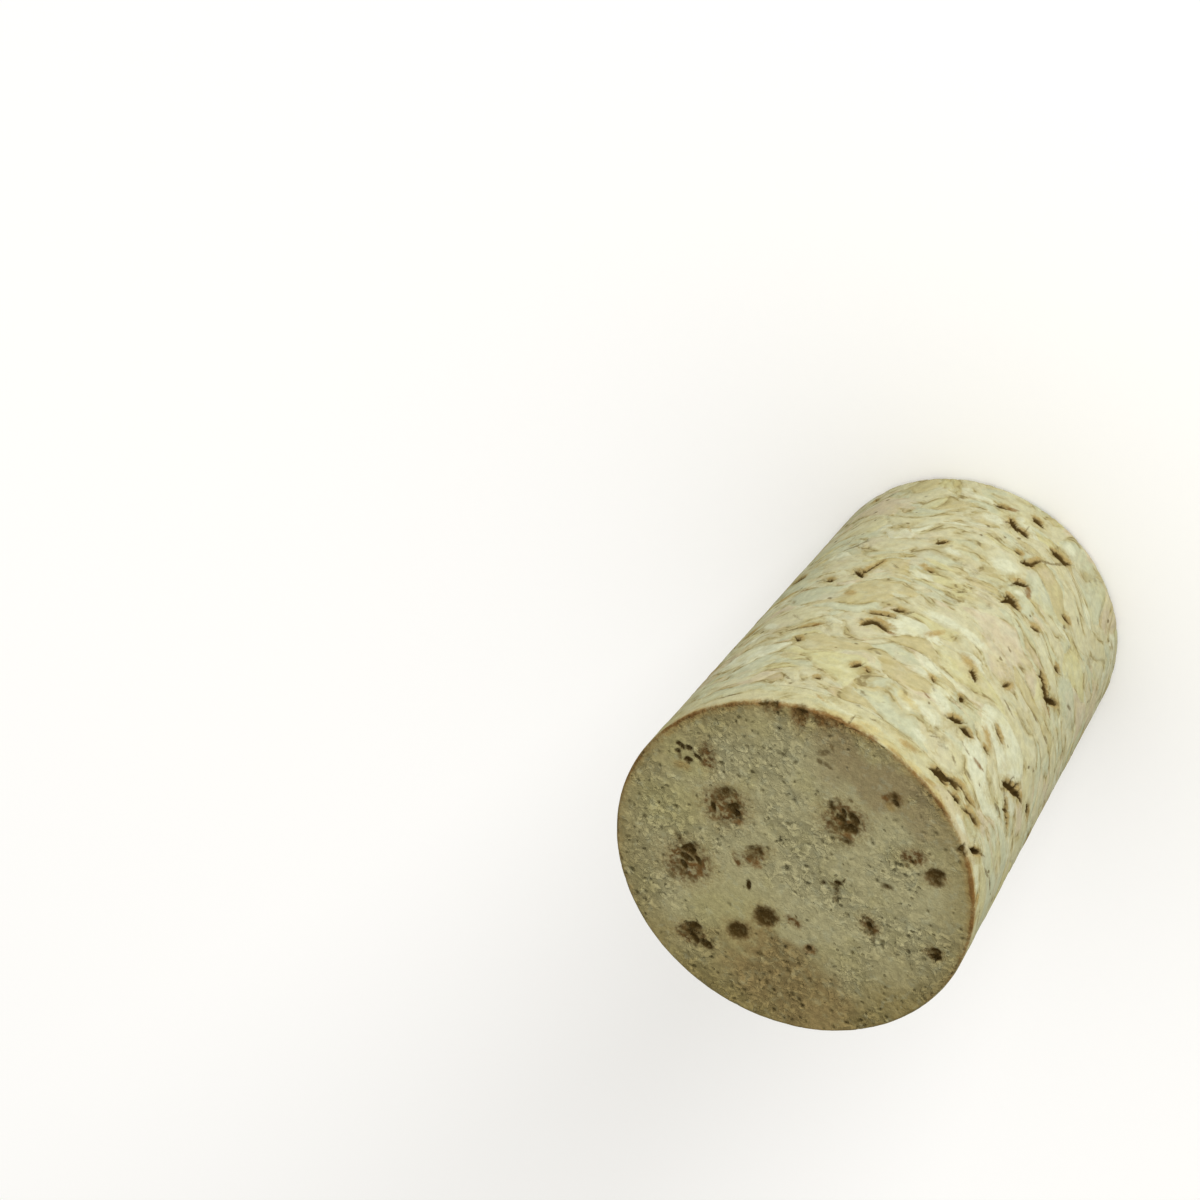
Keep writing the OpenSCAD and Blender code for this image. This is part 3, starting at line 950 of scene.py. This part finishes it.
def add_end_marks(marks, place, where):
    """Gaps in the small end, as in the CAD model, and smaller marks between them."""
    kinds = ("line", "crack", "line", "tan", "pale")
    for i in range(END_GAP_COUNT + END_MARK_COUNT):
        j = i - END_GAP_COUNT
        kind = "gap" if j < 0 else kinds[j % len(kinds)]
        share = (i + 0.7) / END_GAP_COUNT if j < 0 else (j + 0.3) / END_MARK_COUNT
        r = (BASE_R - 1.5) * math.sqrt(share)
        turn = 2 * math.pi * GOLDEN * (i if j < 0 else j + 0.4)
        length = END_GAP_L * (0.6 + 0.8 * part_of(i * 0.43)) * (2 if kind in ("tan", "pale") else 1)
        width = length * (0.22 + 0.25 * part_of(i * 0.59))
        u = place[:, 0] - r * math.cos(turn)
        v = place[:, 1] - r * math.sin(turn)
        marks.add(kind, splinter(u, v, 1.3 * length, width, 180 * part_of(i * 0.31)), where)


def body_piece():
    flat_r = BASE_R + SLOPE * BASE_EDGE_R - BASE_EDGE_R / math.cos(TAPER)
    rows = edge_rows(BASE_EDGE_R, BASE_EDGE_R, -math.pi / 2, -TAPER)
    rows += side_rows(rows[-1][1], SEAM_Z, BODY_ROWS)
    place, normal, faces = skin(BODY_RINGS, 0.0, flat_r, False, rows, CROWDING)
    piece = make_object("pressed_granules", place, faces)
    level, joint = measure_granules(piece)
    ragged = shaken(place, 0.08, 0.7, 40, 2)
    side = (normal[:, 2] > -0.7).astype(float)
    marks = Marks(len(place))
    add_side_marks(marks, ragged, side, SIDE_MARKS + back_side_marks())
    add_end_marks(marks, ragged, 1 - side)
    streaks = rough(place, 1.4, 60, 2)
    dash = smooth(streaks, 0.66, 0.76) * smooth(joint, 0.12, 0.02)
    marks.depth = np.maximum(marks.depth, DASH_DEPTH * dash)
    marks.tint("brown", 0.35 * dash)
    relief = GRANULE_RELIEF * (level + smooth(joint, 0.07, 0.0) + rough(place, 0.6, 70))
    at_seam = place[:, 2] > SEAM_Z - SEAM_HOLD
    press_in(piece, place, normal, np.maximum(marks.depth, relief), at_seam)
    marks.store(piece)
    return piece


# The natural cork disc

def area(place, spot, ragged):
    """1 in the middle of a soft oval area, 0 outside."""
    x, y, half_w, half_h = spot
    q = np.hypot((place[:, 0] + ragged - x) / half_w, (place[:, 1] - ragged - y) / half_h)
    return smooth(q, 1.4, 0.5)


def add_rim_marks(marks, place):
    for turn, length, width, kind in RIM_MARKS:
        a = math.radians(turn)
        along = place[:, 1] * math.cos(a) - place[:, 0] * math.sin(a)
        across = place[:, 0] * math.cos(a) + place[:, 1] * math.sin(a) - TOP_R
        down = place[:, 2] - HEIGHT
        q = np.sqrt((along / (length / 2)) ** 2 + (across / width) ** 2 + (down / 0.5) ** 2)
        marks.add(kind, q)


def rim_line(place, ragged):
    """How strong the rusty line along the rim is near a place, and how far off it is."""
    turn = np.degrees(np.arctan2(place[:, 1], place[:, 0]))
    turns, strengths = zip(*RIM_LINE)
    strength = np.interp(turn, turns, strengths, period=360)
    out = np.hypot(ragged[:, 0], ragged[:, 1]) - TOP_R
    down = ragged[:, 2] - HEIGHT
    away = np.hypot(out, down)
    broken = 0.35 + 0.9 * rough(place, 1.1, 90)
    return np.clip(strength * broken, 0, 1), away


def face_relief(place):
    """Depth of pits and worm-like grooves in the face, and how dark each pit is."""
    calm = np.zeros(len(place))
    for spot in SMOOTH_AREAS:
        calm = np.maximum(calm, area(place, spot, 2.5 * (rough(place, 2.0, 30) - 0.5)))
    lively = (0.35 + 0.65 * smooth(rough(place, 2.4, 55), 0.35, 0.6)) * (1 - 0.8 * calm)
    bent = shaken(place, 0.18, 0.45, 81)
    speck, number = nearest_speck(bent, PIT_SPACING, 50)
    size = 0.13 + 0.12 * number
    pit = smooth(speck, size, 0.2 * size) * (number < 0.15 + 0.75 * lively)
    small, other = nearest_speck(bent, SMALL_PIT_SPACING, 64)
    pit = np.maximum(pit, 0.5 * smooth(small, 0.11, 0.03) * (other < 0.3 * lively))
    large, third = nearest_speck(bent, LARGE_PIT_SPACING, 68)
    pit = np.maximum(pit, smooth(large, 0.26, 0.08) * (third < 0.4) * (0.4 + 0.6 * lively))
    groove = 1 - np.abs(2 * lumps(bent, 0.50, 57) - 1)
    ridges = GROOVE_DEPTH * groove ** 2 * lively + RIDGE_DEPTH * rough(bent, 0.45, 58) * (0.2 + lively)
    return PIT_DEPTH * pit * (0.6 + number) + ridges, pit, lively


def add_face_marks(marks, place, where):
    for x, y, length, width, tilt, kind in FACE_MARKS:
        spread = FACE_HALO_SPREAD if kind == "halo" else FACE_MARK_SPREAD
        width = max(width, LEAST_WIDTH * length)
        q = oval(place[:, 0] - x, place[:, 1] - y, spread * length, spread * width, tilt)
        marks.add(kind, q, where)
    marks.depth *= FACE_DEPTH_SHARE
    marks.colours["dark"] *= FACE_DARK_SHARE


def add_rim_line(marks, place, ragged):
    strength, away = rim_line(place, ragged)
    marks.tint("rust", strength * smooth(away, 0.38, 0.14))
    marks.tint("tan", 0.9 * strength * smooth(away, 0.85, 0.30))


def store_areas(piece, place, where):
    """The stained, pinkish and straw-coloured areas of the face."""
    straw_edge = 2 * (rough(place, 1.6, 39) - 0.5)
    store(piece, "stain", area(place, STAIN_AREA, 4 * (rough(place, 1.8, 33) - 0.5)) * where)
    store(piece, "pink", area(place, PINK_AREA, 4 * (rough(place, 1.8, 36) - 0.5)) * where)
    store(piece, "straw_area", np.max([area(place, spot, straw_edge) for spot in STRAW_AREAS], axis=0))


def disc_piece():
    flat_r = BASE_R + SLOPE * (HEIGHT - TOP_EDGE_R) - TOP_EDGE_R / math.cos(TAPER)
    rows = edge_rows(HEIGHT - TOP_EDGE_R, TOP_EDGE_R, math.pi / 2, -TAPER)
    rows += side_rows(rows[-1][1], SEAM_Z, DISC_ROWS)
    place, normal, faces = skin(DISC_RINGS, HEIGHT, flat_r, True, rows, 0.0)
    piece = make_object("natural_cork", place, faces)
    top = smooth(normal[:, 2], 0.2, 0.8)
    ragged = shaken(place, 0.12, 0.4, 10)
    marks = Marks(len(place))
    add_face_marks(marks, ragged, top)
    across_seam = [row for row in SIDE_MARKS if row[1] > SEAM_Z - SEAM_REACH]
    add_side_marks(marks, ragged, 1 - top, BAND_MARKS + across_seam)
    add_rim_marks(marks, ragged)
    add_rim_line(marks, place, ragged)
    relief, pit, lively = face_relief(place)
    fine = relief * top + GRANULE_RELIEF * rough(place, 0.5, 59) * (1 - top)
    at_seam = place[:, 2] < SEAM_Z + SEAM_HOLD
    press_in(piece, place, normal, marks.depth + fine, at_seam)
    marks.store(piece)
    store(piece, "pit", pit * top)
    store(piece, "face", top)
    store(piece, "lively", lively)
    store_areas(piece, place, top)
    return piece


# Materials

PALE = (0.385, 0.390, 0.275)
CREAM = (0.335, 0.318, 0.198)
GREENISH = (0.300, 0.308, 0.205)
YELLOW = (0.335, 0.315, 0.162)
PINKISH = (0.332, 0.290, 0.192)
SAND = (0.292, 0.258, 0.132)
STRAW = (0.340, 0.290, 0.130)
TAN = (0.245, 0.180, 0.068)
OLIVE = (0.235, 0.195, 0.080)
RUST = (0.135, 0.072, 0.022)
BROWN = (0.085, 0.058, 0.020)
# Painted shade inside gaps and cracks, partly the dark brown of the face pores.
DARK = (0.047, 0.029, 0.008)
HALO = (0.098, 0.055, 0.018)
FACE = (0.324, 0.298, 0.164)
FACE_STRAW = (0.300, 0.270, 0.120)
FACE_PINK = (0.215, 0.170, 0.085)
FACE_LOW = (0.205, 0.162, 0.062)
STAIN = (0.220, 0.165, 0.070)
PIT = (0.095, 0.075, 0.028)

# Colours of the granules: from which number on each is used
GRANULE_TINTS = (
    (0.0, CREAM),
    (0.17, GREENISH),
    (0.30, YELLOW),
    (0.40, CREAM),
    (0.52, PINKISH),
    (0.64, PALE),
    (0.74, GREENISH),
    (0.84, SAND),
    (0.92, CREAM),
)
MARK_TINTS = {
    "pale": PALE,
    "olive": OLIVE,
    "straw": STRAW,
    "tan": TAN,
    "halo": HALO,
    "rust": RUST,
    "brown": BROWN,
    "dark": DARK,
}


def new_material(name):
    material = bpy.data.materials.new(name)
    material.use_nodes = True
    n = Nodes(material.node_tree)
    shader = material.node_tree.nodes["Principled BSDF"]
    shader.inputs["Roughness"].default_value = 0.8
    shader.inputs["Specular IOR Level"].default_value = 0.0
    return material, n, shader


def object_place(n):
    """Object coordinates in millimetres."""
    return n.stretch(n.add("ShaderNodeTexCoord").outputs["Object"], 1 / MM, 1 / MM, 1 / MM)


def paint_marks(n, place, colour, fine, broken=None):
    """The stored marks over a colour, with edges made ragged by fine noise; broken thins the dark ones."""
    wobble = n.times(n.math("SUBTRACT", fine, 0.5), 0.8)
    clods = n.step(n.noise(place, 2.6, 2.0, 0.6), 0.36, 0.62, 0.25, 1.0)
    for name in COLOURS:
        mark = n.attribute(name)
        # The dark marks: painted shade inside gaps and cracks, partly the pores' own dark brown.
        if name == "dark":
            edge = n.plus(mark, n.times(wobble, 0.14))
            share = n.step(edge, DARK_EDGE - 0.10, DARK_EDGE + 0.08)
            share = share if broken is None else n.times(share, broken)
        else:
            edge = n.plus(mark, n.times(wobble, n.step(mark, 0.0, 0.3)))
            share = n.step(edge, 0.10, 0.95)
        if name == "halo":
            share = n.times(share, clods)
        colour = n.mix(share, colour, MARK_TINTS[name])
    grain = n.noise(place, 2.0, 4.0, 0.65)
    return n.shade(colour, n.step(grain, 0.30, 0.70, 0.90, 1.09))


def scattered_specks(n, place, scale, size, chance):
    """1 in small ragged specks, of which there is at most one to a cell of a pattern."""
    cells = n.cells(n.bend(place, 1.5, 1.0, 0.5, 0.5, 0.5), scale)
    number = n.parts(cells.outputs["Color"])[0]
    return n.times(n.step(cells.outputs["Distance"], size, 0.4 * size), n.math("LESS_THAN", number, chance))


def granule_colour(n, place):
    """Colour of pressed granules, with the joint distance and two noises for the relief."""
    tint, _, joint, bent = granule_pattern(n, place)
    patches = n.noise(n.stretch(bent, 0.6, 0.6, 1.3), 1.1, 3.0, 0.6)
    fibre = n.noise(n.stretch(bent, 0.6, 0.6, 1.4), 0.8, 2.0, 0.5)
    cloud = n.noise(place, 0.35, 3.0, 0.55)
    mottle = n.noise(n.stretch(bent, 0.8, 0.8, 1.3), 0.9, 3.0, 0.55)
    fine = n.noise(place, 4.5, 3.0, 0.65)
    faded = n.plus(n.step(joint, 0.0, 0.05, 0.35, 0.0), n.step(patches, 0.40, 0.60, 0.15, 0.0))
    colour = n.mix(faded, n.ramp(tint, GRANULE_TINTS, steps=True), CREAM)
    colour = n.wash(colour, PALE, 0.35, fibre, 0.50, 0.70)
    colour = n.wash(colour, SAND, 0.35, fibre, 0.46, 0.30)
    colour = n.wash(colour, YELLOW, 0.40, cloud, 0.50, 0.72)
    colour = n.wash(colour, PINKISH, 0.40, cloud, 0.45, 0.28)
    colour = n.wash(colour, GREENISH, 0.40, mottle, 0.50, 0.70)
    colour = n.wash(colour, YELLOW, 0.30, mottle, 0.46, 0.30)
    colour = n.wash(colour, SAND, 0.25, fine, 0.5, 0.75)
    edge = n.times(n.step(joint, 0.17, 0.0), n.step(patches, 0.46, 0.62, 0.05, 0.75))
    line = n.times(n.step(joint, 0.03, 0.006), n.step(patches, 0.54, 0.66, 0.0, 0.60))
    specks = n.times(scattered_specks(n, place, 0.9, 0.18, 0.30), 0.75)
    colour = n.mix(edge, colour, OLIVE)
    colour = n.mix(line, colour, BROWN)
    colour = n.mix(specks, colour, BROWN)
    return colour, joint, fibre, fine


def pressed_cork():
    material, n, shader = new_material("pressed_cork_granules")
    place = object_place(n)
    colour, joint, fibre, fine = granule_colour(n, place)
    n.plug(shader, "Base Color", paint_marks(n, place, colour, fine))
    height = n.plus(n.times(fine, 0.04), n.times(fibre, 0.05))
    height = n.plus(height, n.times(n.step(joint, 0.0, 0.10), 0.035))
    n.bump(shader, height, 0.8)
    return material


def face_colour(n, place):
    """Colour of the natural cork face, without its ridges, pits and marks."""
    at = n.parts(place)
    out = n.math("SQRT", n.plus(n.times(at[0], at[0]), n.times(at[1], at[1])))
    low = n.math("SUBTRACT", at[1], n.times(at[0], 0.6))
    wander = n.times(n.math("SUBTRACT", n.noise(place, 0.3, 3.0, 0.6), 0.5), 9.0)
    middle = n.noise(place, 1.6, 4.0, 0.6)
    patch = n.noise(place, 0.45, 3.0, 0.6)
    straw = n.math("MAXIMUM", n.step(patch, 0.50, 0.70, 0.0, 0.4), n.times(n.attribute("straw_area"), 0.7))
    stain = n.times(n.step(n.attribute("stain"), 0.0, 0.9), n.step(middle, 0.30, 0.60, 0.45, 1.0))
    # Darker and browner towards +Y, away from the key light: partly painted shade, partly the cork's own
    # browner tone.
    colour = n.wash(FACE, FACE_LOW, 0.9, n.plus(low, wander), 5.0, 12.5)
    colour = n.wash(colour, FACE_LOW, 0.7, n.plus(out, n.times(wander, 0.3)), 8.5, 12.0)
    colour = n.mix(n.times(n.attribute("pink"), 0.85), colour, FACE_PINK)
    colour = n.mix(straw, colour, FACE_STRAW)
    colour = n.wash(colour, SAND, 0.22, middle, 0.45, 0.65)
    colour = n.wash(colour, GREENISH, 0.30, middle, 0.48, 0.32)
    return n.mix(stain, colour, STAIN)


def natural_cork():
    material, n, shader = new_material("natural_cork_face")
    place = object_place(n)
    face = n.attribute("face")
    lively = n.times(n.attribute("lively"), face)
    fine = n.noise(place, 4.5, 4.0, 0.7)
    worm = n.noise(n.bend(place, 1.5, 1.0, 0.6, 0.6, 0.5), 2.2, 3.0, 0.6)
    ridge = n.step(worm, 0.40, 0.62)
    speck = scattered_specks(n, place, 2.1, 0.28, n.times(lively, 0.25))
    clods = n.step(n.noise(place, 4.0, 2.0, 0.6), 0.36, 0.54, 0.45, 1.0)
    # The worm noise that raises the ridges in the bump below also makes the colour lighter on them and
    # darker between them: painted highlight on the ridges and painted shade in the hollows.
    colour = n.shade(face_colour(n, place), n.blend(lively, 1.0, n.step(worm, 0.36, 0.64, 0.79, 1.18)))
    colour = n.shade(colour, n.step(fine, 0.30, 0.72, 1.07, 0.92))
    colour = n.mix(n.times(n.math("MAXIMUM", n.attribute("pit"), speck), 0.55), colour, PIT)
    side = n.mix(0.3, granule_colour(n, place)[0], YELLOW)
    colour = n.mix(n.step(face, 0.2, 0.6), side, colour)
    n.plug(shader, "Base Color", paint_marks(n, place, colour, fine, n.blend(face, 1.0, clods)))
    height = n.plus(n.times(fine, 0.05), n.times(n.noise(place, 9.0, 2.0, 0.6), 0.02))
    height = n.plus(height, n.times(n.times(ridge, lively), 0.11))
    height = n.math("SUBTRACT", height, n.times(speck, 0.10))
    n.bump(shader, height, 1.0)
    return material


def floor_material():
    material, _, shader = new_material("pale_floor")
    shader.inputs["Base Color"].default_value = FLOOR_WHITE
    return material


# Scene

def make_camera():
    camera = bpy.data.objects.new("camera", bpy.data.cameras.new("camera"))
    camera.data.lens = CAMERA_LENS
    camera.data.sensor_width = SENSOR_WIDTH
    camera.data.clip_start = CLIP_START
    turn = Matrix.Rotation(math.radians(LOOK_TURN), 4, "Z")
    down = Matrix.Rotation(math.radians(90 - LOOK_DOWN), 4, "X")
    roll = Matrix.Rotation(math.radians(CAMERA_ROLL), 4, "Z")
    camera.matrix_world = Matrix.Translation(Vector(CAMERA_AT) * MM) @ turn @ down @ roll
    bpy.context.scene.collection.objects.link(camera)
    bpy.context.scene.camera = camera


def make_light():
    world = bpy.data.worlds.new("world")
    bpy.context.scene.world = world
    world.use_nodes = True
    sky = world.node_tree.nodes["Background"]
    sky.inputs["Color"].default_value = (*AMBIENT_COLOUR, 1.0)
    sky.inputs["Strength"].default_value = AMBIENT
    key = bpy.data.objects.new("key", bpy.data.lights.new("key", "AREA"))
    key.data.shape = "DISK"
    key.data.size = KEY_SIZE
    key.data.energy = KEY_WATTS
    away = Vector(KEY_FROM).normalized()
    key.location = away * KEY_DISTANCE + Vector((0, 0, HEIGHT / 2 * MM))
    key.rotation_euler = away.to_track_quat("Z", "Y").to_euler()
    bpy.context.scene.collection.objects.link(key)


def make_floor():
    signs = ((-1, -1), (1, -1), (1, 1), (-1, 1))
    corners = [(x * FLOOR_HALF, y * FLOOR_HALF, 0) for x, y in signs]
    mesh = bpy.data.meshes.new("floor")
    mesh.from_pydata(corners, [], [(0, 1, 2, 3)])
    floor = bpy.data.objects.new("floor", mesh)
    floor.location.z = -FLOOR_DROP
    floor.data.materials.append(floor_material())
    bpy.context.scene.collection.objects.link(floor)


make_camera()
make_light()
make_floor()
bpy.context.scene.view_settings.view_transform = "Standard"

body = body_piece()
body.data.materials.append(pressed_cork())
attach(body, "root")
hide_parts("agglomerated_body")

disc = disc_piece()
disc.data.materials.append(natural_cork())
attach(disc, "root")
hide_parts("natural_cork_disc")
